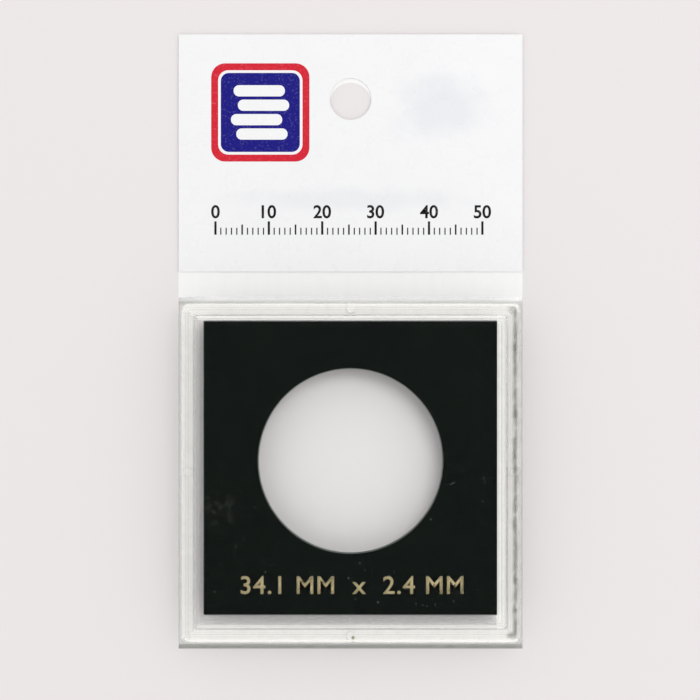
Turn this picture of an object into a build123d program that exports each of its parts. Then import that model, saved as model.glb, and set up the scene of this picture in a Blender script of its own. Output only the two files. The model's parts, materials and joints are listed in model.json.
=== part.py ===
from build123d import *
import os

os.makedirs("parts", exist_ok=True)

# A clear two-piece coin case with a black insert, in a clear film pouch with a white hang header.
# It lies on its back: X runs across, Y runs up to the header, Z comes towards the viewer.
# The origin is the middle of the pouch's outline, on the surface that it lies on.

# Clear case, in millimetres
case_side = 63.5  # outside of the square case, two and a half inches
case_corner = 1.6  # radius of its corners, seen from the front
case_edge = 0.7  # rounding of the outer edges of both plates
plate = 1.5  # front and rear windows
shell_depth = 3.2  # one shell from its outer face to the joint between the two
joint_gap = 0.05  # open joint between the two shells
rim_wall = 2.6  # outer wall of the rear shell
lip_wall = 0.75  # inner lip of the rear shell, which stands inside the front shell's wall
lip_gap = 0.12  # clearance between that lip and the front shell's wall
lip_headroom = 0.2  # from the top of the lip to the front window
lip_lead = 0.3  # chamfer that guides the front shell over the lip
root_round = 0.2  # rounding where the walls rise from the windows
lip_corner = 0.6  # radius of the lip's outer corners
cavity_corner = 0.3  # radius of the inside corners

# Snap pegs at the middle of each side
peg_count = 4
peg_diameter = 1.9
peg_height = 1.3
peg_lead = 0.25  # chamfer round the peg's tip
peg_clearance = 0.06  # round the peg in its socket
peg_tip_room = 0.2  # from the peg's tip to the floor of its socket

# Black insert
insert_slack = 0.95  # clearance on each side when it lies in the middle of the case
insert_top_gap = 0.15  # what is left of it at the top, where the loose insert has slid
insert_floor_gap = 0.1  # between the insert and the rear window
insert_lid_gap = 0.1  # between the insert and the front window
insert_corner = 0.3
insert_edge = 0.15  # broken edges of the moulding
coin_diameter = 34.1
coin_clearance = 0.1  # round the coin in its hole
coin_rise = 1.3  # the coin's hole is this far above the insert's middle

# Film pouch and header
film = 0.1
film_gap = 0.15  # between the film and the case
under_gap = 0.25  # between the case and the header's front panel, which the case slides over
side_weld = 0.22  # sealed strip outside the film's wall, along each side
foot_weld = 1.15  # sealed strip along the foot
mouth_reach = 0.85  # the pouch's mouth stands this far past the case's top edge
clear_strip = 5.7  # clear rear film from the case's top edge to the header
header_height = 44.45
header_corner = 1.0
hang_hole_diameter = 7.8
hang_hole_drop = 12.1  # from the header's top edge to the middle of the hole

# Worked out from the sizes above
film_wrap = film_gap + film
case_depth = 2 * shell_depth
lip_side = case_side - 2 * rim_wall
cavity_side = lip_side - 2 * lip_wall
front_opening = lip_side + 2 * lip_gap
pouch_side = case_side + 2 * film_wrap
pouch_width = pouch_side + 2 * side_weld
pouch_length = foot_weld + film_wrap + case_side + clear_strip + header_height
pouch_foot = -pouch_length / 2
case_foot = pouch_foot + foot_weld + film_wrap
case_middle = case_foot + case_side / 2
case_top = case_foot + case_side
mouth = case_top + mouth_reach
header_foot = case_top + clear_strip
header_top = header_foot + header_height
hang_hole_y = header_top - hang_hole_drop
case_floor = 2 * film + under_gap
joint_height = case_floor + shell_depth
case_lid = case_floor + case_depth
peg_reach = case_side / 2 - rim_wall / 2
insert_side = cavity_side - 2 * insert_slack
insert_thickness = case_depth - 2 * plate - insert_floor_gap - insert_lid_gap
insert_floor = case_floor + plate + insert_floor_gap
insert_middle = case_middle + insert_slack - insert_top_gap
coin_hole = coin_diameter / 2 + coin_clearance
coin_middle = insert_middle + coin_rise
pocket_foot = case_foot - film_wrap
pocket_top = case_lid + film_wrap
pocket_length = mouth - pocket_foot

# Rear shell: window, outer wall up to the joint, taller inner lip and four pegs
with BuildPart() as rear_shell:
    with BuildSketch(Plane.XY.offset(case_floor)):
        with Locations((0, case_middle)):
            RectangleRounded(case_side, case_side, case_corner)
    extrude(amount=shell_depth)
    fillet(rear_shell.faces().sort_by(Axis.Z)[0].edges(), case_edge)
    with BuildSketch(Plane.XY.offset(joint_height)):
        with Locations((0, case_middle)):
            RectangleRounded(lip_side, lip_side, lip_corner)
    extrude(amount=case_lid - plate - lip_headroom - joint_height)
    chamfer(rear_shell.faces().sort_by(Axis.Z)[-1].edges(), lip_lead)
    with BuildSketch(Plane.XY.offset(case_floor + plate)):
        with Locations((0, case_middle)):
            RectangleRounded(cavity_side, cavity_side, cavity_corner)
    extrude(amount=case_depth, mode=Mode.SUBTRACT)
    window = rear_shell.faces().filter_by(Axis.Z).sort_by(Axis.Z)[1]
    fillet(window.edges(), root_round)
    with BuildSketch(Plane.XY.offset(joint_height)):
        with Locations((0, case_middle)):
            with PolarLocations(peg_reach, peg_count):
                Circle(peg_diameter / 2)
    extrude(amount=peg_height)
    chamfer(rear_shell.edges(Select.LAST).group_by(Axis.Z)[-1], peg_lead)
rear_shell.part.label = "rear_shell"
export_step(rear_shell.part, "parts/rear_shell.step")

# Front shell: window and outer wall, with a blind socket for each peg
with BuildPart() as front_shell:
    with BuildSketch(Plane.XY.offset(joint_height + joint_gap)):
        with Locations((0, case_middle)):
            RectangleRounded(case_side, case_side, case_corner)
    extrude(amount=shell_depth - joint_gap)
    fillet(front_shell.faces().sort_by(Axis.Z)[-1].edges(), case_edge)
    with BuildSketch(Plane.XY.offset(case_lid - plate)):
        with Locations((0, case_middle)):
            RectangleRounded(front_opening, front_opening, lip_corner + lip_gap)
    extrude(amount=-shell_depth, mode=Mode.SUBTRACT)
    window = front_shell.faces().filter_by(Axis.Z).sort_by(Axis.Z)[1]
    fillet(window.edges(), root_round)
    with BuildSketch(Plane.XY.offset(joint_height)):
        with Locations((0, case_middle)):
            with PolarLocations(peg_reach, peg_count):
                Circle(peg_diameter / 2 + peg_clearance)
    extrude(amount=peg_height + peg_tip_room, mode=Mode.SUBTRACT)
front_shell.part.label = "front_shell"
export_step(front_shell.part, "parts/front_shell.step")

# Black insert with the coin's hole
with BuildPart() as coin_insert:
    with BuildSketch(Plane.XY.offset(insert_floor)):
        with Locations((0, insert_middle)):
            RectangleRounded(insert_side, insert_side, insert_corner)
        with Locations((0, coin_middle)):
            Circle(coin_hole, mode=Mode.SUBTRACT)
    extrude(amount=insert_thickness)
    chamfer(coin_insert.faces().filter_by(Axis.Z).edges(), insert_edge)
coin_insert.part.label = "coin_insert"
export_step(coin_insert.part, "parts/coin_insert.step")

# Rear film, one sheet from the pouch's foot to the top of the header
with BuildPart() as pouch_rear_film:
    with BuildSketch():
        RectangleRounded(pouch_width, pouch_length, header_corner)
        with Locations((0, hang_hole_y)):
            Circle(hang_hole_diameter / 2, mode=Mode.SUBTRACT)
    extrude(amount=film)
pouch_rear_film.part.label = "pouch_rear_film"
export_step(pouch_rear_film.part, "parts/pouch_rear_film.step")

# White front panel of the header, sealed to the rear film, with the hang hole through both
with BuildPart() as header_panel:
    with BuildSketch(Plane.XY.offset(film)) as header_outline:
        with Locations((0, header_foot)):
            Rectangle(pouch_width, header_height, align=(Align.CENTER, Align.MIN))
        fillet(header_outline.vertices().group_by(Axis.Y)[-1], header_corner)
        with Locations((0, hang_hole_y)):
            Circle(hang_hole_diameter / 2, mode=Mode.SUBTRACT)
    extrude(amount=film)
header_panel.part.label = "header_panel"
export_step(header_panel.part, "parts/header_panel.step")

# Front film, a shallow pocket over the case, open at its mouth and sealed along its flange
with BuildPart() as pouch_front_film:
    with BuildSketch(Plane.XY.offset(film)) as pocket_outline:
        with Locations((0, pocket_foot)):
            Rectangle(pouch_side, pocket_length, align=(Align.CENTER, Align.MIN))
        fillet(pocket_outline.vertices().group_by(Axis.Y)[0], case_corner + film_wrap)
    extrude(amount=pocket_top - film)
    mouth_face = pouch_front_film.faces().sort_by(Axis.Y)[-1]
    crown = pouch_front_film.faces().sort_by(Axis.Z)[-1].edges() - mouth_face.edges()
    fillet(crown, case_edge + film_wrap)
    floor_face = pouch_front_film.faces().sort_by(Axis.Z)[0]
    mouth_face = pouch_front_film.faces().sort_by(Axis.Y)[-1]
    offset(amount=-film, openings=[floor_face, mouth_face])
    with BuildSketch(Plane.XY.offset(film)) as flange_outline:
        with Locations((0, pouch_foot)):
            Rectangle(pouch_width, mouth - pouch_foot, align=(Align.CENTER, Align.MIN))
        fillet(flange_outline.vertices().group_by(Axis.Y)[0], header_corner)
        with Locations((0, pocket_foot + film)):
            Rectangle(
                pouch_side - 2 * film,
                pocket_length - film,
                align=(Align.CENTER, Align.MIN),
                mode=Mode.SUBTRACT,
            )
    extrude(amount=film)
pouch_front_film.part.label = "pouch_front_film"
export_step(pouch_front_film.part, "parts/pouch_front_film.step")
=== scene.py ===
"""A clear snap case for one coin, with a black insert, in a film pouch with a white hang header."""
import bmesh
import bpy
import json
import math
from mathutils import Matrix, Vector, noise


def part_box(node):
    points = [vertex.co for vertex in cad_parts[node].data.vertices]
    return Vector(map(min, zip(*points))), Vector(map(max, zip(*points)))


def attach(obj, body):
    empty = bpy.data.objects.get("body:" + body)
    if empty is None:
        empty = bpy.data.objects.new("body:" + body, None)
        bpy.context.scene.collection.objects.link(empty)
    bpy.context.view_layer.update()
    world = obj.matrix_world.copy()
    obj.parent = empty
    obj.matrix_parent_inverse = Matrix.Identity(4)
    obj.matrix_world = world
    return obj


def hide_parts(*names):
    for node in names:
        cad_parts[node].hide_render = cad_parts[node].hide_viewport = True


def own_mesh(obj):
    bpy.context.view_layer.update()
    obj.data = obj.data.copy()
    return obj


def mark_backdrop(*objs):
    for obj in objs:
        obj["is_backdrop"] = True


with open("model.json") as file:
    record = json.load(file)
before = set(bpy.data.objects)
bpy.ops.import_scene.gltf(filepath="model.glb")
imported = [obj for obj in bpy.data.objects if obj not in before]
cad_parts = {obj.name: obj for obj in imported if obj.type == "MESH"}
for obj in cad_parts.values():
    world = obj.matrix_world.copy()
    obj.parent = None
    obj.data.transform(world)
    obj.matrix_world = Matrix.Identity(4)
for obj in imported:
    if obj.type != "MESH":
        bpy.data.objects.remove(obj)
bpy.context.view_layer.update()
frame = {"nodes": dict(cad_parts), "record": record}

MM = 0.001
CASE_LOW, CASE_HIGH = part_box("front_shell")
CASE_MIDDLE = (CASE_LOW + CASE_HIGH) / 2
CASE_HALF = (CASE_HIGH.x - CASE_LOW.x) / 2
INSERT_LOW, INSERT_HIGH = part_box("coin_insert")
FILM_LOW, FILM_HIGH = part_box("pouch_front_film")
SHEET_LOW, SHEET_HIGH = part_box("pouch_rear_film")
PANEL_LOW, PANEL_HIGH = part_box("header_panel")
MOUNTS = {mount["name"]: mount for mount in frame["record"]["mounts"]}
HANG_HOLE = Vector(MOUNTS["hang_hole"]["pos_m"])
HANG_RADIUS = MOUNTS["hang_hole"]["dims"]["r_mm"] * MM
COIN_HOLE = Vector(MOUNTS["coin_seat"]["pos_m"])

# Photograph: where its middle falls on the object, and how much it takes in
VIEW_MIDDLE = Vector((-0.1 * MM, -1.6 * MM, 3.5 * MM))
VIEW_WIDTH = 130.7 * MM
CAMERA_HEIGHT = 1.0
SENSOR = 36.0

# Studio: the softbox, in metres, watts and degrees, and the floor
KEY_SIZE = 0.8
KEY_POWER = 7.3
KEY_TILT = math.radians(23)  # off the vertical
KEY_TURN = math.radians(45)  # towards the upper right
KEY_DISTANCE = 1.6
FLOOR_HALF = 1.5
FLOOR_DROP = 0.02 * MM  # the floor lies this far under the object

# Shells: distances from the case's middle, measured squarely towards the nearest side
WINDOW_REACH = 27.3 * MM  # end of the windows, over the insert's edge
GAP_REACH = 28.5 * MM  # just past the gap round the insert
LIP_CREST = 28.85 * MM  # end of the flat top of the rear shell's lip
LIP_REACH = 29.3 * MM  # just outside that lip
CORNER_REACH = 29.8 * MM  # end of the straight runs, beside the corners
EDGE_REACH = 30.9 * MM  # the rounded outer edge lies past this
WALL_REACH = 31.0 * MM  # and the outer walls past this

# Shells: heights of their faces
GAP_FLOOR = 1.95 * MM
JOINT_LEVEL = 3.65 * MM
PEG_TIPS = (4.6 * MM, 5.0 * MM)
LIP_TOPS = (4.8 * MM, 5.2 * MM)
WINDOW_UNDERSIDE = 5.35 * MM
EDGE_LEVEL = 6.1 * MM  # the rounded outer edge at the front lies above this
SAME_LEVEL = 0.03 * MM  # a face this close to a height counts as being at it

# Shells: how frosted their faces are, on each side of the case. The frost's white is partly painted light:
# its amounts differ by side so that some sides read lighter and others darker, and on the outer front edge it
# is a painted highlight
JOINT_FROST_AND_PAINTED_LIGHT = {"top": 1.0, "foot": 0.85, "left": 0.55, "right": 0.55}
PEG_SHARE = 0.9  # frost of the pegs' tips, as a share of the joint's
# painted shade and light: the lip's frost is low on the left, and the gap's frost is high on the right
LIP_FROST_AND_PAINTED_LIGHT = {"top": 0.95, "foot": 0.8, "left": 0.15, "right": 0.95}
GAP_FROST_AND_PAINTED_LIGHT = {"top": 0.0, "foot": 0.25, "left": 0.12, "right": 0.95}
# painted light: frost on the window's underside brightens the gap beneath it
UNDERSIDE_PAINTED_LIGHT = 0.6  # front window, over the gap on the right
# painted highlight: frost on the outer front edge draws a bright line round the case, with none on the right
EDGE_PAINTED_HIGHLIGHT = {"top": 0.9, "foot": 0.9, "left": 0.4, "right": 0.0}
EDGE_TURN = {"top": 0.93, "foot": 0.6, "left": 0.93, "right": 0.6}  # up part of the normal at the edge's turn
TURNED_FROST = 0.15  # beyond that turn
WALL_FROST = 0.3
WALL_SHADE = 0.2  # share of the light that turns back at the case's outer walls

# Films
FILM = 0.06 * MM  # drawn thickness
WELD_GAP = 0.03 * MM  # between the front film's weld and the rear film
SIDE_WELD = 0.2 * MM
SIDE_LEAN = 0.12 * MM  # how far the film's wall leans in from the weld
FOOT_WELD = 0.9 * MM
FOOT_LEAN = 0.34 * MM
FILM_TURN = 0.85 * MM  # radius of the turn from the wall to the front
FILM_CORNER = 1.8 * MM  # radius of the case's corners, under the film
FILM_SHIFT = 0.3 * MM  # the film hugs the case more tightly on the right by this
MOUTH_BEND = CASE_HIGH.y - 1 * MM  # the film comes loose from here to its mouth
SHADE_BAND_STEP = 0.15 * MM  # columns of the mesh beside the turns, where the grey band of painted shade runs
SHADE_BAND_COLUMNS = 17
FRONT_COLUMNS = 80
FRONT_ROWS = 80
MOUTH_ROWS = 12
MOST_HAZE = 0.95
HAZE_BEHIND_CASE = 0.2  # rear film
HAZE_ABOVE_CASE = 0.98  # rear film, with the header's white
SHEET_STEP = 1.0 * MM  # mesh of the flat sheets

# Printing, measured from the middle of the object
EMBLEM_MIDDLE = Vector((-16.9 * MM, 42.9 * MM))
EMBLEM_SIDE = 18.4 * MM
COIN_SHIFTS = (0.3 * MM, -0.7 * MM, 0.6 * MM, -0.2 * MM)  # sideways, from the lowest coin in the stack up
COIN_PITCH = 2.7 * MM
SCALE_MIDDLE = Vector((-0.3 * MM, 22.6 * MM))
SCALE_LENGTH = 50 * MM
SCALE_DROP = 2.6 * MM  # from the scale's middle to the foot of its ticks
SCALE_TICKS = ((1, 0.22, 1.3), (5, 0.3, 1.9), (10, 0.42, 2.5))  # spacing, width and height in millimetres
NUMBER_STEP = 10
NUMBER_RISE = 4.3 * MM  # from the foot of the ticks to the middle of the numbers
NUMBER_HEIGHT = 2.5 * MM
FOIL_MIDDLE = Vector((0.3 * MM, -45.4 * MM))
FOIL_WIDTH = 41.5 * MM
FOIL_HEIGHT = 3.4 * MM
INK = 0.006 * MM  # each ink layer stands this proud, enough to keep the layers apart
INK_STEP = 0.8 * MM  # longest edge in an ink's mesh, so that it follows the film
BACK_FACE = 0.034 * MM  # height of the rear film's back over the floor, where the print behind lies

# Marks of use and moulding
THUMB = (-24.4 * MM, -31.5 * MM, INSERT_HIGH.z)  # smudge on the insert
LINT_WIDTH = 53.5 * MM
LINT_HEIGHT = 28 * MM
LINT_MARGIN = 0.5 * MM  # from the insert's foot
LINT_DENSITY = 45000.0  # specks in a square metre
LINT_RADIUS = 0.17 * MM
LINT_CLEAR = 17.6 * MM  # no speck lies nearer to the middle of the coin's hole
GATE_PLACE = Vector((0.45 * MM, CASE_LOW.y + 0.95 * MM, 4.97 * MM))
GATE_FOOT = 0.3 * MM
GATE_TIP = 0.2 * MM
GATE_HEIGHT = 0.03 * MM


def linear(code):
    """Linear colour with alpha from an sRGB hex value such as #d8232f."""
    parts = [int(code[i : i + 2], 16) / 255 for i in (1, 3, 5)]
    return [p / 12.92 if p <= 0.04045 else ((p + 0.055) / 1.055) ** 2.4 for p in parts] + [1.0]


def add(tree, kind, inputs=None, **settings):
    """Adds a node. inputs gives each socket, by name or number, a value or the socket that feeds it."""
    node = tree.nodes.new(kind)
    for name, value in settings.items():
        setattr(node, name, value)
    for key, value in (inputs or {}).items():
        if isinstance(value, bpy.types.NodeSocket):
            tree.links.new(value, node.inputs[key])
        else:
            node.inputs[key].default_value = value
    return node


def new_material(name):
    """An empty material, its node tree and the tree's output."""
    material = bpy.data.materials.new(name)
    material.use_nodes = True
    tree = material.node_tree
    tree.nodes.clear()
    return material, tree, add(tree, "ShaderNodeOutputMaterial")


def case_reach(tree):
    """A socket with how far a point lies from the case's middle, squarely towards the nearest side."""
    place = add(tree, "ShaderNodeTexCoord").outputs["Object"]
    centred = add(tree, "ShaderNodeMapping", {
        "Vector": place, "Location": (-CASE_MIDDLE.x, -CASE_MIDDLE.y, 0.0)})
    spread = add(tree, "ShaderNodeVectorMath", {0: centred.outputs[0]}, operation="ABSOLUTE")
    sides = add(tree, "ShaderNodeSeparateXYZ", {0: spread.outputs[0]})
    farther = add(tree, "ShaderNodeMath", {0: sides.outputs["X"], 1: sides.outputs["Y"]}, operation="MAXIMUM")
    return farther.outputs[0]


def lit_ray(tree):
    """A socket that is 1 for rays from lamps and for bounced light, and 0 for what is seen."""
    path = add(tree, "ShaderNodeLightPath")
    either = add(tree, "ShaderNodeMath", {
        0: path.outputs["Is Shadow Ray"], 1: path.outputs["Is Diffuse Ray"]}, operation="MAXIMUM")
    return either.outputs[0]


def let_light_through(tree, output, surface):
    """Sends surface to the output, but lets lamps and bounced light pass straight on, less at a glancing
    angle. Some of it turns back at the case's outer walls, so that they cast a shadow beside the case."""
    glance = add(tree, "ShaderNodeLayerWeight", {"Blend": 0.5})
    grazed = add(tree, "ShaderNodeMath", {0: glance.outputs["Facing"], 1: 14.0}, operation="POWER")
    outer = add(tree, "ShaderNodeMapRange", {
        "Value": case_reach(tree), "From Min": CASE_HALF - 0.5 * MM, "From Max": CASE_HALF,
        "To Min": 0.0, "To Max": WALL_SHADE})
    inside = add(tree, "ShaderNodeNewGeometry").outputs["Backfacing"]
    leaving = add(tree, "ShaderNodeMath", {0: 1.0, 1: inside}, operation="SUBTRACT")
    turned = add(tree, "ShaderNodeMath", {0: outer.outputs[0], 1: leaving.outputs[0]}, operation="MULTIPLY")
    lost = add(tree, "ShaderNodeMath", {0: grazed.outputs[0], 1: turned.outputs[0]}, operation="MAXIMUM")
    passed = add(tree, "ShaderNodeMix", {
        "Factor": lost.outputs[0], "A": (1, 1, 1, 1), "B": (0, 0, 0, 1)}, data_type="RGBA")
    clear = add(tree, "ShaderNodeBsdfTransparent", {"Color": passed.outputs["Result"]})
    mixed = add(tree, "ShaderNodeMixShader", {0: lit_ray(tree), 1: surface, 2: clear.outputs[0]})
    tree.links.new(mixed.outputs[0], output.inputs["Surface"])


# Moulded clear polystyrene: faint handling scuffs, hardly any colour, and white frost on faces along the rim,
# uneven in fine
# lines. The frost is partly painted light: more of it on some sides makes them read lighter, and on the outer
# front edge it is a painted highlight. The windows mirror the room less than the rims do, so that the insert
# stays black behind them
def clear_polystyrene(name, mirror):
    material, tree, output = new_material(name)
    place = add(tree, "ShaderNodeTexCoord").outputs["Object"]
    scuffs = add(tree, "ShaderNodeTexNoise", {
        "Vector": place, "Scale": 1 / (3 * MM), "Detail": 5.0, "Roughness": 0.7})
    rough = add(tree, "ShaderNodeMapRange", {
        "Value": scuffs.outputs["Fac"], "From Min": 0.45, "From Max": 0.8, "To Min": 0.012, "To Max": 0.09})
    flow = add(tree, "ShaderNodeTexNoise", {"Vector": place, "Scale": 1 / (9 * MM), "Detail": 2.0})
    bump = add(tree, "ShaderNodeBump", {
        "Strength": 0.05, "Distance": 0.05 * MM, "Height": flow.outputs["Fac"]})
    body = add(tree, "ShaderNodeBsdfPrincipled", {
        "Base Color": (1, 1, 1, 1), "Roughness": rough.outputs[0], "IOR": 1.59,
        "Specular Tint": linear(mirror), "Transmission Weight": 1.0, "Normal": bump.outputs[0]})
    frost_and_painted_light = add(tree, "ShaderNodeAttribute", attribute_name="frost_and_painted_light").outputs["Fac"]
    patchy = add(tree, "ShaderNodeMapRange", {
        "Value": scuffs.outputs["Fac"], "From Min": 0.35, "From Max": 0.65, "To Min": 0.9, "To Max": 1.05})
    rings = add(tree, "ShaderNodeTexNoise", {
        "W": case_reach(tree), "Scale": 1 / (0.4 * MM), "Detail": 3.0, "Roughness": 0.7},
        noise_dimensions="1D")
    lines = add(tree, "ShaderNodeMapRange", {
        "Value": rings.outputs["Fac"], "From Min": 0.3, "From Max": 0.5, "To Min": 0.35, "To Max": 1.05})
    uneven = add(tree, "ShaderNodeMath", {0: patchy.outputs[0], 1: lines.outputs[0]}, operation="MULTIPLY")
    cloud = add(tree, "ShaderNodeMath", {0: frost_and_painted_light, 1: uneven.outputs[0]}, operation="MULTIPLY")
    # the frost's white, partly painted light and painted highlight
    ground = add(tree, "ShaderNodeBsdfPrincipled", {
        "Base Color": linear("#fefdf7"), "Roughness": 0.5, "IOR": 1.3})
    painted_light_mix = add(tree, "ShaderNodeMixShader", {0: cloud.outputs[0], 1: body.outputs[0], 2: ground.outputs[0]})
    let_light_through(tree, output, painted_light_mix.outputs[0])
    return material


# Moulded black polystyrene: satin, faintly green in the shade, with a painted highlight along its chamfered
# edges, and a thumb's smudge near its left edge
def black_polystyrene():
    material, tree, output = new_material("black_polystyrene")
    place = add(tree, "ShaderNodeTexCoord").outputs["Object"]
    cloud = add(tree, "ShaderNodeTexNoise", {"Vector": place, "Scale": 1 / (7 * MM), "Detail": 4.0})
    shade = add(tree, "ShaderNodeMix", {
        "Factor": cloud.outputs["Fac"], "A": linear("#040a07"), "B": linear("#070f0b")}, data_type="RGBA")
    fine = add(tree, "ShaderNodeTexNoise", {"Vector": place, "Scale": 1 / (1.2 * MM), "Detail": 4.0})
    thumb = add(tree, "ShaderNodeVectorMath", {0: place, 1: THUMB}, operation="DISTANCE")
    reach = add(tree, "ShaderNodeMapRange", {
        "Value": thumb.outputs["Value"], "From Min": 1 * MM, "From Max": 5 * MM,
        "To Min": 0.9, "To Max": 0.0}, interpolation_type="SMOOTHSTEP")
    ridges = add(tree, "ShaderNodeMapRange", {
        "Value": fine.outputs["Fac"], "From Min": 0.45, "From Max": 0.7})
    smudge = add(tree, "ShaderNodeMath", {0: reach.outputs[0], 1: ridges.outputs[0]}, operation="MULTIPLY")
    marked = add(tree, "ShaderNodeMix", {
        "Factor": smudge.outputs[0], "A": shade.outputs["Result"], "B": linear("#2c2d27")}, data_type="RGBA")
    # painted highlight: faces leaning about 45 degrees, the chamfers, are paled towards #7a817c
    normal = add(tree, "ShaderNodeNewGeometry").outputs["Normal"]
    up = add(tree, "ShaderNodeSeparateXYZ", {0: normal}).outputs["Z"]
    slope = add(tree, "ShaderNodeMath", {0: up, 1: 0.7}, operation="SUBTRACT")
    off = add(tree, "ShaderNodeMath", {0: slope.outputs[0]}, operation="ABSOLUTE")
    chamfer_highlight = add(tree, "ShaderNodeMapRange", {
        "Value": off.outputs[0], "From Min": 0.1, "From Max": 0.2, "To Min": 0.8, "To Max": 0.0})
    painted_light_mix = add(tree, "ShaderNodeMix", {
        "Factor": chamfer_highlight.outputs[0], "A": marked.outputs["Result"], "B": linear("#7a817c")}, data_type="RGBA")
    rough = add(tree, "ShaderNodeMapRange", {"Value": cloud.outputs["Fac"], "To Min": 0.55, "To Max": 0.7})
    grain = add(tree, "ShaderNodeTexNoise", {"Vector": place, "Scale": 1 / (0.25 * MM), "Detail": 2.0})
    bump = add(tree, "ShaderNodeBump", {
        "Strength": 0.12, "Distance": 0.02 * MM, "Height": grain.outputs["Fac"]})
    body = add(tree, "ShaderNodeBsdfPrincipled", {
        "Base Color": painted_light_mix.outputs["Result"], "Roughness": rough.outputs[0], "IOR": 1.55,
        "Specular IOR Level": 0.03, "Normal": bump.outputs[0]})
    tree.links.new(body.outputs[0], output.inputs["Surface"])
    return material


# Blown polyethylene film: too thin to bend what is behind it, bright where it turns away, milky where it is
# creased, and grey in places as painted shade
def polyethylene_film():
    material, tree, output = new_material("polyethylene_film")
    place = add(tree, "ShaderNodeTexCoord").outputs["Object"]
    drawn = add(tree, "ShaderNodeMapping", {"Vector": place, "Scale": (1.0, 0.15, 1.0)})
    streaks = add(tree, "ShaderNodeTexNoise", {
        "Vector": drawn.outputs[0], "Scale": 1 / (2 * MM), "Detail": 4.0})
    bump = add(tree, "ShaderNodeBump", {
        "Strength": 0.1, "Distance": 0.02 * MM, "Height": streaks.outputs["Fac"]})
    haze = add(tree, "ShaderNodeAttribute", attribute_name="haze").outputs["Fac"]
    uneven = add(tree, "ShaderNodeMapRange", {
        "Value": streaks.outputs["Fac"], "From Min": 0.3, "From Max": 0.7, "To Min": 0.98, "To Max": 1.02})
    seen = add(tree, "ShaderNodeMath", {0: 1.0, 1: lit_ray(tree)}, operation="SUBTRACT")
    seen_haze = add(tree, "ShaderNodeMath", {0: haze, 1: seen.outputs[0]}, operation="MULTIPLY")
    cloud = add(tree, "ShaderNodeMath", {0: seen_haze.outputs[0], 1: uneven.outputs[0]}, operation="MULTIPLY")
    glance = add(tree, "ShaderNodeLayerWeight", {"Blend": 0.5, "Normal": bump.outputs[0]})
    grazed = add(tree, "ShaderNodeMath", {0: glance.outputs["Facing"], 1: 4.0}, operation="POWER")
    shine = add(tree, "ShaderNodeMapRange", {"Value": grazed.outputs[0], "To Min": 0.009, "To Max": 0.25})
    seen_shine = add(tree, "ShaderNodeMath", {0: shine.outputs[0], 1: seen.outputs[0]}, operation="MULTIPLY")
    clear = add(tree, "ShaderNodeBsdfTransparent", {"Color": (1, 1, 1, 1)})
    gloss = add(tree, "ShaderNodeBsdfGlossy", {
        "Color": linear("#f4f4f2"), "Roughness": 0.12, "Normal": bump.outputs[0]})
    skin = add(tree, "ShaderNodeMixShader", {
        0: seen_shine.outputs[0], 1: clear.outputs[0], 2: gloss.outputs[0]})
    crease_and_painted_shade = add(tree, "ShaderNodeAttribute", attribute_name="crease_and_painted_shade").outputs["Fac"]
    # painted shade: the milk greys towards #77776f where this attribute is high; little of that grey is the
    # film's own
    tone = add(tree, "ShaderNodeMix", {
        "Factor": crease_and_painted_shade, "A": linear("#fafaf9"), "B": linear("#77776f")}, data_type="RGBA")
    milk = add(tree, "ShaderNodeBsdfPrincipled", {
        "Base Color": tone.outputs["Result"], "Roughness": 0.3, "IOR": 1.5})
    body = add(tree, "ShaderNodeMixShader", {0: cloud.outputs[0], 1: skin.outputs[0], 2: milk.outputs[0]})
    tree.links.new(body.outputs[0], output.inputs["Surface"])
    return material


# White ink under clear film: a soft white with a glossy skin, through which the print on the back shows
# faintly
def white_ink_film():
    material, tree, output = new_material("white_ink_film")
    place = add(tree, "ShaderNodeTexCoord").outputs["Object"]
    cloud = add(tree, "ShaderNodeTexNoise", {"Vector": place, "Scale": 1 / (16 * MM), "Detail": 3.0})
    white = add(tree, "ShaderNodeMix", {
        "Factor": cloud.outputs["Fac"], "A": linear("#f2f2f3"), "B": linear("#f7f7f8")},
        data_type="RGBA").outputs["Result"]
    blur = add(tree, "ShaderNodeTexNoise", {"Vector": place, "Scale": 1 / (5 * MM), "Detail": 2.0})
    ghosts = (
        (-EMBLEM_MIDDLE.x, EMBLEM_MIDDLE.y + 1 * MM, 11 * MM, 9 * MM, "#d9dce6"),
        (-SCALE_MIDDLE.x, SCALE_MIDDLE.y + 4 * MM, 30 * MM, 3 * MM, "#e2e4e8"),
    )
    for x, y, width, height, shadow in ghosts:
        centred = add(tree, "ShaderNodeMapping", {"Vector": place, "Location": (-x, -y, 0.0)})
        share = add(tree, "ShaderNodeVectorMath", {
            0: centred.outputs[0], 1: (1 / width, 1 / height, 0.0)}, operation="MULTIPLY")
        reach = add(tree, "ShaderNodeVectorMath", {0: share.outputs[0]}, operation="LENGTH").outputs["Value"]
        blurred = add(tree, "ShaderNodeMath", {0: reach, 1: blur.outputs["Fac"]}, operation="ADD")
        fade = add(tree, "ShaderNodeMapRange", {
            "Value": blurred.outputs[0], "From Min": 0.7, "From Max": 1.5, "To Min": 0.4, "To Max": 0.0},
            interpolation_type="SMOOTHSTEP")
        white = add(tree, "ShaderNodeMix", {
            "Factor": fade.outputs[0], "A": white, "B": linear(shadow)}, data_type="RGBA").outputs["Result"]
    skin = add(tree, "ShaderNodeTexNoise", {"Vector": place, "Scale": 1 / (4 * MM), "Detail": 2.0})
    rough = add(tree, "ShaderNodeMapRange", {"Value": skin.outputs["Fac"], "To Min": 0.22, "To Max": 0.34})
    bump = add(tree, "ShaderNodeBump", {
        "Strength": 0.03, "Distance": 0.03 * MM, "Height": skin.outputs["Fac"]})
    body = add(tree, "ShaderNodeBsdfPrincipled", {
        "Base Color": white, "Roughness": rough.outputs[0], "IOR": 1.5, "Normal": bump.outputs[0]})
    tree.links.new(body.outputs[0], output.inputs["Surface"])
    return material


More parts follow.
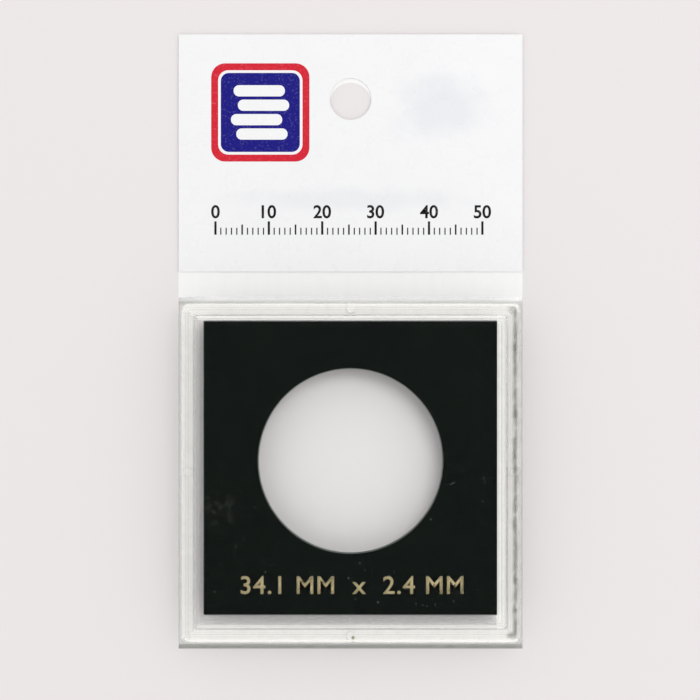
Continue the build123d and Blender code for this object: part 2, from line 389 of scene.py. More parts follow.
# Printing ink on film: flat colour with tiny pinholes where the film's white shows
def printing_ink(name, code):
    material, tree, output = new_material(name)
    place = add(tree, "ShaderNodeTexCoord").outputs["Object"]
    grain = add(tree, "ShaderNodeTexNoise", {"Vector": place, "Scale": 1 / (0.4 * MM), "Detail": 3.0})
    thin = add(tree, "ShaderNodeMapRange", {
        "Value": grain.outputs["Fac"], "From Min": 0.55, "From Max": 0.85, "To Min": 0.0, "To Max": 0.12})
    colour = add(tree, "ShaderNodeMix", {
        "Factor": thin.outputs[0], "A": linear(code), "B": linear("#f3f2f4")}, data_type="RGBA")
    body = add(tree, "ShaderNodeBsdfPrincipled", {
        "Base Color": colour.outputs["Result"], "Roughness": 0.3, "Specular IOR Level": 0.15})
    tree.links.new(body.outputs[0], output.inputs["Surface"])
    return material


# Hot-stamped gold foil: soft metal with a worn, mottled face
def gold_foil():
    material, tree, output = new_material("gold_foil")
    place = add(tree, "ShaderNodeTexCoord").outputs["Object"]
    mottle = add(tree, "ShaderNodeTexNoise", {"Vector": place, "Scale": 1 / (0.6 * MM), "Detail": 4.0})
    colour = add(tree, "ShaderNodeMix", {
        "Factor": mottle.outputs["Fac"], "A": linear("#9a8e67"), "B": linear("#bfb186")}, data_type="RGBA")
    rough = add(tree, "ShaderNodeMapRange", {"Value": mottle.outputs["Fac"], "To Min": 0.5, "To Max": 0.7})
    body = add(tree, "ShaderNodeBsdfPrincipled", {
        "Base Color": colour.outputs["Result"], "Metallic": 0.25, "Roughness": rough.outputs[0]})
    tree.links.new(body.outputs[0], output.inputs["Surface"])
    return material


# Dust and lint: pale grey, dull
def lint_dust():
    material, tree, output = new_material("lint_dust")
    place = add(tree, "ShaderNodeTexCoord").outputs["Object"]
    speck = add(tree, "ShaderNodeTexNoise", {"Vector": place, "Scale": 1 / (1.5 * MM), "Detail": 1.0})
    shade = add(tree, "ShaderNodeMix", {
        "Factor": speck.outputs["Fac"], "A": linear("#2c312f"), "B": linear("#858b8a")}, data_type="RGBA")
    body = add(tree, "ShaderNodeBsdfPrincipled", {
        "Base Color": shade.outputs["Result"], "Roughness": 0.9, "IOR": 1.4})
    tree.links.new(body.outputs[0], output.inputs["Surface"])
    return material


# Matte card under the object
def floor_card():
    material, tree, output = new_material("floor_card")
    body = add(tree, "ShaderNodeBsdfPrincipled", {
        "Base Color": linear("#ebe6e6"), "Roughness": 0.9, "IOR": 1.3})
    tree.links.new(body.outputs[0], output.inputs["Surface"])
    return material


def new_piece(name, mesh, material):
    """Links a mesh to the scene as a piece at the origin, with one material."""
    mesh.materials.clear()
    mesh.materials.append(material)
    piece = bpy.data.objects.new(name, mesh)
    bpy.context.scene.collection.objects.link(piece)
    return piece


def settle(piece):
    """Turns a piece with modifiers into a plain mesh."""
    bpy.context.view_layer.update()
    shaped = piece.evaluated_get(bpy.context.evaluated_depsgraph_get())
    mesh = bpy.data.meshes.new_from_object(shaped)
    piece.modifiers.clear()
    piece.data = mesh
    return piece


def thicken(piece, offset):
    """Gives a film its thickness, above its mesh for an offset of 1 and below it for -1."""
    wall = piece.modifiers.new("wall", "SOLIDIFY")
    wall.thickness = FILM
    wall.offset = offset


def grid_mesh(name, vertices, columns):
    """A mesh of four-sided faces over vertices that come row by row, with this many in each row."""
    rows = len(vertices) // columns
    faces = []
    for j in range(rows - 1):
        for i in range(columns - 1):
            corner = j * columns + i
            faces.append((corner, corner + 1, corner + columns + 1, corner + columns))
    mesh = bpy.data.meshes.new(name)
    mesh.from_pydata(vertices, [], faces)
    return mesh


def named_inputs(tree, kinds):
    """Gives a geometry node tree its named inputs and its output. Returns each input's identifier."""
    sockets = {}
    for label, kind in kinds.items():
        sockets[label] = tree.interface.new_socket(label, in_out="INPUT", socket_type=kind).identifier
    tree.interface.new_socket("Geometry", in_out="OUTPUT", socket_type="NodeSocketGeometry")
    return sockets


def run_tree(piece, tree, sockets, values):
    """Runs a geometry node tree on a piece with these values for its inputs, and keeps the plain mesh."""
    modifier = piece.modifiers.new(tree.name, "NODES")
    modifier.node_group = tree
    for label, value in values.items():
        modifier[sockets[label]] = value
    return settle(piece)


def ripple(x, y, size, layer):
    """Smooth unevenness from -1 to 1, with features about as wide as size. Each layer is another pattern."""
    return noise.noise(Vector((x / size, y / size, layer)))


def smooth(t):
    """0 below 0, 1 above 1 and an even curve between them."""
    t = min(max(t, 0.0), 1.0)
    return t * t * (3 - 2 * t)


def frosted(place, normal):
    """How frosted a shell's face is. The joint between the shells, the pegs' tips, the lip's top, the gap
    beside the insert, the window's underside over it, the outer front edge and the outer walls scatter light,
    each side by its own share. The frost's white is partly painted light: sides given more read lighter,
    sides given less read darker, and on the outer front edge it is a painted highlight."""
    across = place.x - CASE_MIDDLE.x
    along = place.y - CASE_MIDDLE.y
    level = place.z
    reach = max(abs(across), abs(along))
    if abs(across) > abs(along):
        side = "right" if across > 0 else "left"
    else:
        side = "top" if along > 0 else "foot"
    flat_up = normal.z > 0.999
    nearly_up = normal.z > 0.9
    leans_up = normal.z > 0.3
    rounded = 0.05 < normal.z < 0.995
    upright = abs(normal.z) < 0.05
    if flat_up and abs(level - JOINT_LEVEL) < SAME_LEVEL:
        return JOINT_FROST_AND_PAINTED_LIGHT[side]
    if leans_up and PEG_TIPS[0] < level < PEG_TIPS[1] and reach > LIP_REACH:
        return PEG_SHARE * JOINT_FROST_AND_PAINTED_LIGHT[side]
    if leans_up and LIP_TOPS[0] < level < LIP_TOPS[1] and reach < LIP_REACH:
        if side == "right" and reach > LIP_CREST:
            return 0.0
        return LIP_FROST_AND_PAINTED_LIGHT[side]
    if nearly_up and abs(level - GAP_FLOOR) < SAME_LEVEL and reach > WINDOW_REACH:
        return GAP_FROST_AND_PAINTED_LIGHT["right" if across > WINDOW_REACH else side]
    if normal.z < -0.9 and abs(level - WINDOW_UNDERSIDE) < SAME_LEVEL and WINDOW_REACH < across < GAP_REACH:
        return UNDERSIDE_PAINTED_LIGHT
    if rounded and level > EDGE_LEVEL and reach > EDGE_REACH:
        return EDGE_PAINTED_HIGHLIGHT[side] if normal.z >= EDGE_TURN[side] else TURNED_FROST
    if upright and reach > WALL_REACH:
        return WALL_FROST
    return 0.0


def shell_copy(node, name, rim, window):
    """A moulded shell from its CAD solid. Flat faces shade flat and rounded edges smooth. Cuts across the
    straight runs beside the corners keep a corner's shading from spreading along them. Cuts at the gap and at
    the window part faces that are frosted differently. The window inside the rim has its own material."""
    shape = bmesh.new()
    shape.from_mesh(frame["nodes"][node].data)
    bmesh.ops.remove_doubles(shape, verts=shape.verts, dist=0.0005 * MM)
    for reach in (CORNER_REACH, GAP_REACH, WINDOW_REACH):
        for way in (Vector((1, 0, 0)), Vector((-1, 0, 0)), Vector((0, 1, 0)), Vector((0, -1, 0))):
            bmesh.ops.bisect_plane(shape, geom=shape.verts[:] + shape.edges[:] + shape.faces[:],
                                   plane_co=CASE_MIDDLE + reach * way, plane_no=way)
    shape.normal_update()
    shape.verts.index_update()
    flat = [max(abs(c) for c in face.normal) > 0.9999 for face in shape.faces]
    corners = [[v.index for v in face.verts] for face in shape.faces]
    mesh = bpy.data.meshes.new(name)
    mesh.from_pydata([v.co for v in shape.verts], [], corners)
    shape.free()
    mesh.set_sharp_from_angle(angle=math.radians(35))
    frost_and_painted_light = [frosted(polygon.center, polygon.normal) for polygon in mesh.polygons]
    mesh.attributes.new("frost_and_painted_light", "FLOAT", "FACE").data.foreach_set("value", frost_and_painted_light)
    shell = new_piece(name, mesh, rim)
    mesh.materials.append(window)
    for polygon, stays_flat in zip(mesh.polygons, flat):
        off = polygon.center - CASE_MIDDLE
        polygon.use_smooth = not stays_flat
        polygon.material_index = int(stays_flat and max(abs(off.x), abs(off.y)) < WINDOW_REACH)
    return shell


def edge_steps(weld, lean, height):
    """Steps in from the pouch's edge over the weld, the wall and the turn: how far in, and which share of the
    film's height it has there."""
    steps = [(0.0, 0.0), (weld * 0.5, 0.0), (weld, 0.0)]
    wall = 1 - FILM_TURN / height
    for i in range(1, 9):
        steps.append((weld + lean * i / 8, wall * i / 8))
    for i in range(1, 7):
        angle = math.pi / 2 * i / 6
        steps.append((weld + lean + FILM_TURN * (1 - math.cos(angle)), wall + (1 - wall) * math.sin(angle)))
    return steps


def film_columns(height):
    """Places across the front film, each with the share of the film's height there: weld, wall and turn at
    each side, close steps where the grey band of painted shade runs and wider ones between."""
    sides = edge_steps(SIDE_WELD, SIDE_LEAN, height)
    turn = FILM_LOW.x + sides[-1][0]
    close = [turn + SHADE_BAND_STEP * i for i in range(1, SHADE_BAND_COLUMNS + 1)]
    wide = [close[-1] - 2 * close[-1] * i / FRONT_COLUMNS for i in range(1, FRONT_COLUMNS)]
    columns = [(FILM_LOW.x + d, s) for d, s in sides]
    columns += [(x, 1.0) for x in close + wide]
    columns += [(-x, 1.0) for x in reversed(close)]
    columns += [(FILM_HIGH.x - d, s) for d, s in reversed(sides)]
    return columns


def film_rows(height):
    """Places along the front film in the same way: weld, wall and turn at the foot, then up to the mouth."""
    rows = [(FILM_LOW.y + d, s) for d, s in edge_steps(FOOT_WELD, FOOT_LEAN, height)]
    low = rows[-1][0]
    mouth = FILM_HIGH.y - MOUTH_BEND
    rows += [(low + (MOUTH_BEND - low) * i / FRONT_ROWS, 1.0) for i in range(1, FRONT_ROWS)]
    rows += [(MOUTH_BEND + mouth * i / MOUTH_ROWS, 1.0) for i in range(MOUTH_ROWS + 1)]
    return rows


def outside_case(x, y):
    """How far a point lies outside the case's rounded outline, below 0 where it lies inside."""
    straight = CASE_HALF - FILM_CORNER
    across = abs(x - CASE_MIDDLE.x - FILM_SHIFT) - straight
    along = abs(y - CASE_MIDDLE.y) - straight
    return math.hypot(max(across, 0.0), max(along, 0.0)) + min(max(across, along), 0.0) - FILM_CORNER


def film_look(mesh, haze, crease_and_painted_shade):
    """Stores how milky the film is at each vertex, and how grey that is: partly its creases, mostly painted
    shade.
    """
    for name, values in (("haze", haze), ("crease_and_painted_shade", crease_and_painted_shade)):
        mesh.attributes.new(name, "FLOAT", "POINT").data.foreach_set("value", values)


def film_point(x, y, rise_x, rise_y, base, height):
    """One vertex of the front film: its place, how milky it is there, and how grey that is."""
    share = rise_x * rise_y
    past = smooth((y - CASE_HIGH.y) / (FILM_HIGH.y - CASE_HIGH.y))
    near_mouth = smooth((y - MOUTH_BEND) / (FILM_HIGH.y - MOUTH_BEND))
    corner = near_mouth * smooth((abs(x) - 25 * MM) / (7 * MM))
    wave = ripple(x, y, 9 * MM, 1.0) + 0.5 * ripple(x, y, 3.5 * MM, 2.0)
    crumple = ripple(x, y, 1.6 * MM, 8.0)

    loose = 0.02 + 0.3 * near_mouth + 0.3 * (1 - share)
    lift = MM * (0.12 * loose * (1 + wave) + 0.12 * corner * (1 + crumple)) * (share > 0)
    droop = MM * past * share * (0.4 + 0.3 * ripple(x, 0, 7 * MM, 3.0))
    sway = MM * 0.12 * ripple(y, 0, 5 * MM, 4.0) * (1 - rise_x) * math.copysign(1, x)
    edge = MM * past * 0.25 * ripple(x, 0, 6 * MM, 9.0)
    place = (x + sway * (rise_x > 0), y + edge, base + height * share + lift - droop)

    outside = outside_case(x, y)
    inset = outside + 1.4 * MM - 0.15 * MM * ripple(y, 0, 6 * MM, 13.0)
    # painted shade: a grey band down the right edge, just inside the case's outline
    right_shade_band = math.exp(-((inset / (0.4 * MM)) ** 2)) * smooth((x - 28.5 * MM) / (1.5 * MM))
    right_shade_band *= 0.7 + 0.5 * ripple(y, 0, 3 * MM, 10.0) + 0.6 * ripple(x, y, 1.1 * MM, 11.0)
    right_shade_band *= 1 - 0.8 * past
    streak = 0.85 + 0.5 * ripple(x, y, 2.2 * MM, 12.0)
    streak *= 1 - 0.6 * smooth(6 * share * (1 - share))
    beside = smooth((outside + 0.3 * MM) / (0.4 * MM)) * (1 - near_mouth)
    on_right = smooth((x - 31.1 * MM) / (0.3 * MM)) * (1 - near_mouth)
    at_foot = smooth((CASE_LOW.y - 0.2 * MM - y) / (0.9 * MM))
    from_top = y - CASE_HIGH.y + 0.1 * MM
    at_mouth = smooth(from_top / (0.3 * MM)) * (0.8 + 0.4 * wave)
    bent = math.exp(-((from_top / (0.28 * MM)) ** 2)) * (0.8 + 0.4 * wave)
    ear = corner * (x > 0) * rise_x
    crush = corner * (x < 0) * (0.6 + 0.6 * crumple)
    # Each veil gives how milky and how grey the film is. The grey beside the case, at the foot, over the top
    # edge, at the left corner of the mouth, down the right edge and on the outermost right is painted shade.
    veils = (
        (0.55 * beside * streak, 0.5),  # walls and welds beside the case
        (0.95 * at_foot * max(streak, 0.9), 0.95),  # wall and weld at the foot
        (0.28 * at_mouth, 0.15),  # loose mouth
        (0.4 * bent, 0.7),  # bend over the case's top edge
        (0.5 * ear, 0.0),  # bright right corner of the mouth
        (0.4 * crush, 0.7),  # crushed left corner of the mouth
        (0.75 * right_shade_band * (1 - at_foot), 1.0),  # grey band down the right edge, painted shade
        (0.4 * on_right * streak, 0.6),  # outermost film on the right
    )
    total = max(sum(amount for amount, grey in veils), 0.001)
    return place, min(total, MOST_HAZE), sum(amount * grey for amount, grey in veils) / total


def front_film(material):
    """The pouch's front: film drawn over the case, down its sides to the welds, and past it to a loose mouth.
    Its welds and mouth are creased and milky. Its grey beside the case, at its foot, over the case's top edge
    and in a band down its right edge is painted shade."""
    base = SHEET_HIGH.z + WELD_GAP
    height = FILM_HIGH.z - FILM - base
    columns = film_columns(height)
    vertices = []
    haze = []
    crease_and_painted_shade = []
    for y, rise_y in film_rows(height):
        for x, rise_x in columns:
            place, milky, grey = film_point(x, y, rise_x, rise_y, base, height)
            vertices.append(place)
            haze.append(milky)
            crease_and_painted_shade.append(grey)
    mesh = grid_mesh("pouch_front", vertices, len(columns))
    mesh.shade_smooth()
    film_look(mesh, haze, crease_and_painted_shade)
    piece = new_piece("pouch_front", mesh, material)
    thicken(piece, 1.0)
    return settle(piece)


def header_relief(x, y):
    """Height of the slack in the header's film above its flat place."""
    slack = 0.5 + 0.32 * ripple(x, y, 24 * MM, 5.0) + 0.12 * ripple(x, y, 8 * MM, 6.0)
    return 0.14 * MM * max(slack, 0.0)


def rear_relief(x, y):
    """Height of the slack in the rear film, which lies nearly flat."""
    return 0.004 * MM * (1 + ripple(x, y, 12 * MM, 7.0))


def rear_haze(y):
    """How milky the rear film is: nearly clear behind the case, and as white as the header above it."""
    above = smooth((y - CASE_HIGH.y + 1 * MM) / (2 * MM))
    return HAZE_BEHIND_CASE + (HAZE_ABOVE_CASE - HAZE_BEHIND_CASE) * above


def punched_sheet(name, low, high, hole, top, relief, material):
    """A flat sheet with a round hole, its upper face at top plus relief(x, y)."""
    columns = math.ceil((high.x - low.x) / SHEET_STEP)
    rows = math.ceil((high.y - low.y) / SHEET_STEP)
    vertices = []
    for j in range(rows + 1):
        y = low.y + (high.y - low.y) * j / rows
        for i in range(columns + 1):
            x = low.x + (high.x - low.x) * i / columns
            vertices.append((x, y, top + relief(x, y)))
    piece = new_piece(name, grid_mesh(name, vertices, columns + 1), material)
    thicken(piece, -1.0)
    punch_mesh = bpy.data.meshes.new("punch")
    shape = bmesh.new()
    bmesh.ops.create_cone(shape, cap_ends=True, segments=96, radius1=HANG_RADIUS, radius2=HANG_RADIUS,
                          depth=4 * MM, matrix=Matrix.Translation((hole.x, hole.y, top)))
    shape.to_mesh(punch_mesh)
    shape.free()
    punch = bpy.data.objects.new("punch", punch_mesh)
    bpy.context.scene.collection.objects.link(punch)
    cut = piece.modifiers.new("punch", "BOOLEAN")
    cut.object = punch
    settle(piece)
    bpy.data.objects.remove(punch)
    bpy.data.meshes.remove(punch_mesh)
    piece.data.shade_smooth()
    piece.data.set_sharp_from_angle(angle=math.radians(40))
    return piece


def rounded_outline(middle, width, height, radius):
    """Points round a rectangle with round corners."""
    steps = 8
    points = []
    for k, (sx, sy) in enumerate(((1, 1), (-1, 1), (-1, -1), (1, -1))):
        corner = middle + Vector((sx * (width / 2 - radius), sy * (height / 2 - radius)))
        for i in range(steps + 1):
            angle = math.pi / 2 * (k + i / steps)
            points.append(corner + radius * Vector((math.cos(angle), math.sin(angle))))
    return points


def ink_mesh(name, outlines, layer, behind):
    """Flat printed areas inside the outlines, lying on the header's film, one ink layer thick."""
    shape = bmesh.new()
    for outline in outlines:
        ring = [shape.verts.new((p.x, p.y, 0)) for p in outline]
        shape.faces.new(ring)
    bmesh.ops.triangulate(shape, faces=shape.faces)
    while True:
        long = [e for e in shape.edges if e.calc_length() > INK_STEP]
        if not long:
            break
        bmesh.ops.subdivide_edges(shape, edges=long, cuts=1)
        bmesh.ops.triangulate(shape, faces=shape.faces)
    lay_on_header(shape, layer, behind)
    mesh = bpy.data.meshes.new(name)
    shape.to_mesh(mesh)
    shape.free()
    return mesh


def lay_on_header(shape, layer, behind):
    """Drops flat printing on the header's film and gives it its thickness. Behind, it reads from the back."""
    bmesh.ops.recalc_face_normals(shape, faces=shape.faces)
    solid = bmesh.ops.extrude_face_region(shape, geom=shape.faces[:])
    tops = {v for v in solid["geom"] if isinstance(v, bmesh.types.BMVert)}
    for vertex in shape.verts:
        proud = (layer + (vertex in tops)) * INK
        if behind:
            vertex.co.z = BACK_FACE - proud
            vertex.co.x = -vertex.co.x
        else:
            vertex.co.z = PANEL_HIGH.z + header_relief(vertex.co.x, vertex.co.y) + proud
    bmesh.ops.recalc_face_normals(shape, faces=shape.faces)


def letters(body, middle, width, height, spacing, weight):
    """Numbers and plain unit letters as a flat mesh, fitted to a height and, where given, to a width."""
    curve = bpy.data.curves.new("letters", "FONT")
    curve.body = body
    curve.size = 1.0
    curve.space_character = spacing
    curve.offset = weight
    curve.resolution_u = 6
    text = bpy.data.objects.new("letters", curve)
    bpy.context.scene.collection.objects.link(text)
    bpy.context.view_layer.update()
    mesh = bpy.data.meshes.new_from_object(text.evaluated_get(bpy.context.evaluated_depsgraph_get()))
    bpy.data.objects.remove(text)
    low = Vector([min(v.co[k] for v in mesh.vertices) for k in range(3)])
    high = Vector([max(v.co[k] for v in mesh.vertices) for k in range(3)])
    tall = height / (high.y - low.y)
    wide = tall if width is None else width / (high.x - low.x)
    for vertex in mesh.vertices:
        vertex.co.x = middle.x + (vertex.co.x - (low.x + high.x) / 2) * wide
        vertex.co.y = middle.y + (vertex.co.y - (low.y + high.y) / 2) * tall
        vertex.co.z = 0.0
    return mesh


def foil_line(material):
    """The stamped size line on the insert."""
    mesh = letters("34.1 MM  x  2.4 MM", FOIL_MIDDLE, FOIL_WIDTH, FOIL_HEIGHT, 1.08, 0.012)
    shape = bmesh.new()
    shape.from_mesh(mesh)
    for vertex in shape.verts:
        vertex.co.z = INSERT_HIGH.z + INK
    solid = bmesh.ops.extrude_face_region(shape, geom=shape.faces[:])
    tops = [v for v in solid["geom"] if isinstance(v, bmesh.types.BMVert)]
    bmesh.ops.translate(shape, verts=tops, vec=(0, 0, 2 * INK))
    bmesh.ops.recalc_face_normals(shape, faces=shape.faces)
    shape.to_mesh(mesh)
    shape.free()
    return new_piece("foil_line", mesh, material)


def emblem(inks, side, behind):
    """A generic red and blue tag with a stack of coins. side names the face that it is printed on."""
    border = EMBLEM_SIDE - 2.6 * MM
    field = EMBLEM_SIDE - 3.6 * MM
    coins = []
    for i, shift in enumerate(COIN_SHIFTS):
        middle = EMBLEM_MIDDLE + Vector((shift, (i - 1.5) * COIN_PITCH))
        coins.append(rounded_outline(middle, 9.6 * MM, 2.1 * MM, 1.0 * MM))
    layers = [
        ("red", [rounded_outline(EMBLEM_MIDDLE, EMBLEM_SIDE, EMBLEM_SIDE, 2.6 * MM)], inks["red"]),
        ("rim", [rounded_outline(EMBLEM_MIDDLE, border, border, 1.9 * MM)], inks["white"]),
        ("blue", [rounded_outline(EMBLEM_MIDDLE, field, field, 1.5 * MM)], inks["blue"]),
        ("coins", coins, inks["white"]),
    ]
    pieces = []
    for layer, (part, outlines, ink) in enumerate(layers, start=1):
        name = f"emblem_{part}_{side}"
        pieces.append(new_piece(name, ink_mesh(name, outlines, layer, behind), ink))
    return pieces


def size_scale(material, side, behind):
    """A printed millimetre scale: three runs of ticks, made by one geometry node tree, and their numbers."""
    tree = bpy.data.node_groups.new("scale_ticks", "GeometryNodeTree")
    sockets = named_inputs(tree, {
        "Count": "NodeSocketInt", "Spacing": "NodeSocketFloat", "Width": "NodeSocketFloat",
        "Height": "NodeSocketFloat", "Ink": "NodeSocketMaterial"})
    given = add(tree, "NodeGroupInput").outputs
    step = add(tree, "ShaderNodeCombineXYZ", {"X": given["Spacing"]})
    line = add(tree, "GeometryNodeMeshLine", {"Count": given["Count"], "Offset": step.outputs[0]})
    size = add(tree, "ShaderNodeCombineXYZ", {"X": given["Width"], "Y": given["Height"]})
    tick = add(tree, "GeometryNodeMeshGrid", {
        "Size X": given["Width"], "Size Y": given["Height"], "Vertices X": 2, "Vertices Y": 2})
    raise_by = add(tree, "ShaderNodeVectorMath", {
        0: size.outputs[0], 1: (0.0, 0.5, 0.0)}, operation="MULTIPLY")
    stood = add(tree, "GeometryNodeTransform", {
        "Geometry": tick.outputs["Mesh"], "Translation": raise_by.outputs[0]})
    ticks = add(tree, "GeometryNodeInstanceOnPoints", {
        "Points": line.outputs[0], "Instance": stood.outputs[0]})
    real = add(tree, "GeometryNodeRealizeInstances", {"Geometry": ticks.outputs[0]})
    inked = add(tree, "GeometryNodeSetMaterial", {"Geometry": real.outputs[0], "Material": given["Ink"]})
    add(tree, "NodeGroupOutput", {"Geometry": inked.outputs[0]})
    shape = bmesh.new()
    for spacing, width, height in SCALE_TICKS:
        holder = new_piece("ticks", bpy.data.meshes.new("ticks"), material)
        run_tree(holder, tree, sockets, {
            "Count": int(SCALE_LENGTH / MM / spacing) + 1, "Spacing": spacing * MM, "Width": width * MM,
            "Height": height * MM, "Ink": material})
        shape.from_mesh(holder.data)
        bpy.data.objects.remove(holder)
    start = SCALE_MIDDLE - Vector((SCALE_LENGTH / 2, SCALE_DROP))
    bmesh.ops.translate(shape, verts=shape.verts, vec=(start.x, start.y, 0))
    for number in range(0, int(SCALE_LENGTH / MM) + 1, NUMBER_STEP):
        middle = start + Vector((number * MM, NUMBER_RISE))
        shape.from_mesh(letters(str(number), middle, None, NUMBER_HEIGHT, 1.0, 0.02))
    lay_on_header(shape, 1, behind)
    mesh = bpy.data.meshes.new(f"size_scale_{side}")
    shape.to_mesh(mesh)
    shape.free()
    return new_piece(f"size_scale_{side}", mesh, material)


def insert_lint(material):
    """Specks of dust on the insert's face, scattered by a geometry node tree outside the coin's hole."""
    tree = bpy.data.node_groups.new("insert_lint", "GeometryNodeTree")
    sockets = named_inputs(tree, {
        "Width": "NodeSocketFloat", "Height": "NodeSocketFloat", "Density": "NodeSocketFloat",
        "Speck": "NodeSocketFloat", "Middle": "NodeSocketVector", "Hole": "NodeSocketVector",
        "Clear": "NodeSocketFloat", "Dust": "NodeSocketMaterial"})
    given = add(tree, "NodeGroupInput").outputs
    plate = add(tree, "GeometryNodeMeshGrid", {
        "Size X": given["Width"], "Size Y": given["Height"], "Vertices X": 2, "Vertices Y": 2})
    placed = add(tree, "GeometryNodeTransform", {
        "Geometry": plate.outputs["Mesh"], "Translation": given["Middle"]})
    points = add(tree, "GeometryNodeDistributePointsOnFaces", {
        "Mesh": placed.outputs[0], "Density": given["Density"], "Seed": 4})
    where = add(tree, "GeometryNodeInputPosition").outputs[0]
    away = add(tree, "ShaderNodeVectorMath", {0: where, 1: given["Hole"]}, operation="DISTANCE")
    in_hole = add(tree, "ShaderNodeMath", {
        0: away.outputs["Value"], 1: given["Clear"]}, operation="LESS_THAN")
    kept = add(tree, "GeometryNodeDeleteGeometry", {
        "Geometry": points.outputs["Points"], "Selection": in_hole.outputs[0]}, domain="POINT")
    grain = add(tree, "GeometryNodeMeshIcoSphere", {"Radius": given["Speck"], "Subdivisions": 1})
    flake = add(tree, "GeometryNodeTransform", {
        "Geometry": grain.outputs["Mesh"], "Scale": (1.0, 0.55, 0.2)})
    turn = add(tree, "FunctionNodeRandomValue", {
        "Min": (0.0, 0.0, 0.0), "Max": (0.0, 0.0, 6.28), "Seed": 5}, data_type="FLOAT_VECTOR")
    size = add(tree, "FunctionNodeRandomValue", {2: 0.35, 3: 1.3, "Seed": 6}, data_type="FLOAT")
    specks = add(tree, "GeometryNodeInstanceOnPoints", {
        "Points": kept.outputs[0], "Instance": flake.outputs[0],
        "Rotation": turn.outputs[0], "Scale": size.outputs[1]})
    real = add(tree, "GeometryNodeRealizeInstances", {"Geometry": specks.outputs[0]})
    dusted = add(tree, "GeometryNodeSetMaterial", {"Geometry": real.outputs[0], "Material": given["Dust"]})
    add(tree, "NodeGroupOutput", {"Geometry": dusted.outputs[0]})
    piece = new_piece("insert_lint", bpy.data.meshes.new("insert_lint"), material)
    across = (INSERT_LOW.x + INSERT_HIGH.x) / 2
    along = INSERT_LOW.y + LINT_HEIGHT / 2 + LINT_MARGIN
    return run_tree(piece, tree, sockets, {
        "Width": LINT_WIDTH, "Height": LINT_HEIGHT, "Density": LINT_DENSITY, "Speck": LINT_RADIUS,
        "Middle": (across, along, INSERT_HIGH.z), "Hole": (COIN_HOLE.x, COIN_HOLE.y, INSERT_HIGH.z),
        "Clear": LINT_CLEAR, "Dust": material})


def gate_mark(material):
    """The gate's stub: a small brown disc on the tip of the peg at the foot, to the right of its middle."""
    mesh = bpy.data.meshes.new("gate_mark")
    shape = bmesh.new()
    bmesh.ops.create_cone(shape, cap_ends=True, segments=20, radius1=GATE_FOOT, radius2=GATE_TIP,
                          depth=GATE_HEIGHT, matrix=Matrix.Translation(GATE_PLACE))
    shape.to_mesh(mesh)
    shape.free()
    return new_piece("gate_mark", mesh, material)


def stage(material):
    """A plain floor just under the object."""
    mesh = bpy.data.meshes.new("floor")
    corners = [(x * FLOOR_HALF, y * FLOOR_HALF, -FLOOR_DROP) for x, y in ((-1, -1), (1, -1), (1, 1), (-1, 1))]
    mesh.from_pydata(corners, [], [(0, 1, 2, 3)])
    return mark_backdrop(new_piece("floor", mesh, material))


def softbox():
    """A square lamp at the upper right, aimed at the object."""
    lamp = bpy.data.lights.new("key", "AREA")
    lamp.size = KEY_SIZE
    lamp.energy = KEY_POWER
    box = bpy.data.objects.new("key", lamp)
    aside = math.sin(KEY_TILT)
    box.location = KEY_DISTANCE * Vector((
        aside * math.cos(KEY_TURN), aside * math.sin(KEY_TURN), math.cos(KEY_TILT)))
    box.rotation_euler = box.location.to_track_quat("Z", "Y").to_euler()
    bpy.context.scene.collection.objects.link(box)


def room():
    """A pale room all round, dark only round the camera."""
    world = bpy.data.worlds.new("studio")
    world.use_nodes = True
    tree = world.node_tree
    tree.nodes.clear()
    way = add(tree, "ShaderNodeTexCoord").outputs["Generated"]
    up = add(tree, "ShaderNodeSeparateXYZ", {0: way}).outputs["Z"]
    walls = add(tree, "ShaderNodeMapRange", {
        "Value": up, "From Min": 0.3, "From Max": 0.7, "To Min": 1.12, "To Max": 0.75})
    roof = add(tree, "ShaderNodeMapRange", {
        "Value": up, "From Min": 0.93, "From Max": 0.975, "To Min": 1.0, "To Max": 0.03},
        interpolation_type="SMOOTHSTEP")
    strength = add(tree, "ShaderNodeMath", {0: walls.outputs[0], 1: roof.outputs[0]}, operation="MULTIPLY")
    sky = add(tree, "ShaderNodeBackground", {"Color": (1, 1, 1, 1), "Strength": strength.outputs[0]})
    add(tree, "ShaderNodeOutputWorld", {"Surface": sky.outputs[0]})
    bpy.context.scene.world = world


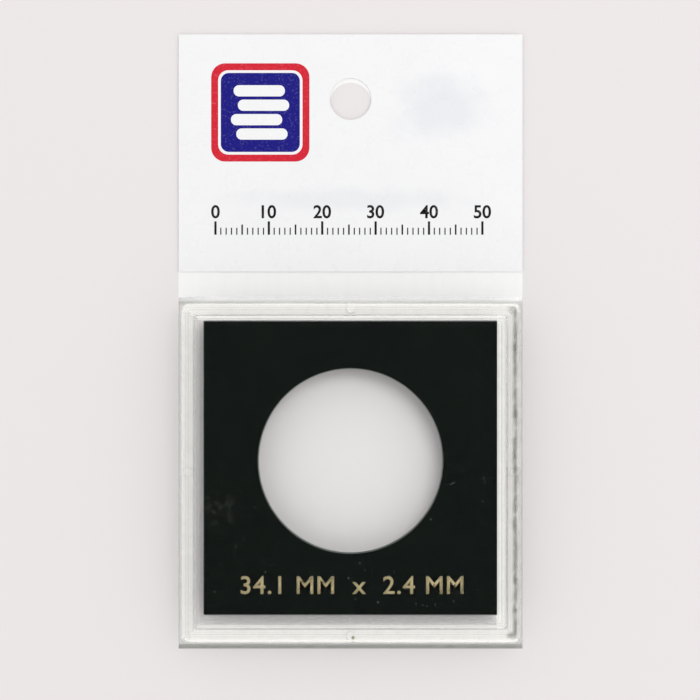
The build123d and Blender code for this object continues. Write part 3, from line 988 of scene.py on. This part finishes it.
def camera():
    """Straight above, with a long lens, at the photograph's scale."""
    lens = bpy.data.cameras.new("camera")
    lens.sensor_width = SENSOR
    lens.lens = SENSOR * CAMERA_HEIGHT / VIEW_WIDTH
    lens.clip_end = 10
    eye = bpy.data.objects.new("camera", lens)
    eye.location = VIEW_MIDDLE + Vector((0, 0, CAMERA_HEIGHT))
    bpy.context.scene.collection.objects.link(eye)
    bpy.context.scene.camera = eye


rim = clear_polystyrene("clear_polystyrene", "#ffffff")
window = clear_polystyrene("clear_polystyrene_window", "#787878")
film = polyethylene_film()
white = white_ink_film()
inks = {
    "red": printing_ink("red_ink", "#d52436"),
    "blue": printing_ink("blue_ink", "#181580"),
    "white": white,
    "black": printing_ink("black_ink", "#101012"),
}
foil = gold_foil()

front = shell_copy("front_shell", "front_window_shell", rim, window)
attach(front, "lid")
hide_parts("front_shell")
rear = shell_copy("rear_shell", "rear_window_shell", rim, window)
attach(rear, "case")
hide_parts("rear_shell")

gate = gate_mark(printing_ink("gate_stub", "#a09a7e"))
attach(gate, "case")

insert = frame["nodes"]["coin_insert"]
insert.data.materials.clear()
insert.data.materials.append(black_polystyrene())
stamp = foil_line(foil)
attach(stamp, "insert")
lint = insert_lint(lint_dust())
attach(lint, "insert")

pouch = front_film(film)
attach(pouch, "pouch")
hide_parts("pouch_front_film")
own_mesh(pouch)

rear_hole = HANG_HOLE - Vector((0, 0.85 * MM, 0))  # punched a little lower than the panel's
back = punched_sheet("pouch_back", SHEET_LOW, SHEET_HIGH, rear_hole, BACK_FACE + FILM, rear_relief, film)
back_vertices = back.data.vertices
film_look(back.data, [rear_haze(v.co.y) for v in back_vertices], [0.0] * len(back_vertices))
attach(back, "pouch")
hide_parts("pouch_rear_film")

panel = punched_sheet("header_front", PANEL_LOW, PANEL_HIGH, HANG_HOLE, PANEL_HIGH.z, header_relief, white)
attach(panel, "pouch")
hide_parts("header_panel")

for side, behind in (("front", False), ("back", True)):
    for printed in emblem(inks, side, behind) + [size_scale(inks["black"], side, behind)]:
        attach(printed, "pouch")

stage(floor_card())
softbox()
room()
camera()
scene = bpy.context.scene
scene.view_settings.view_transform = "Standard"
scene.cycles.max_bounces = 40
scene.cycles.transmission_bounces = 40
scene.cycles.transparent_max_bounces = 40
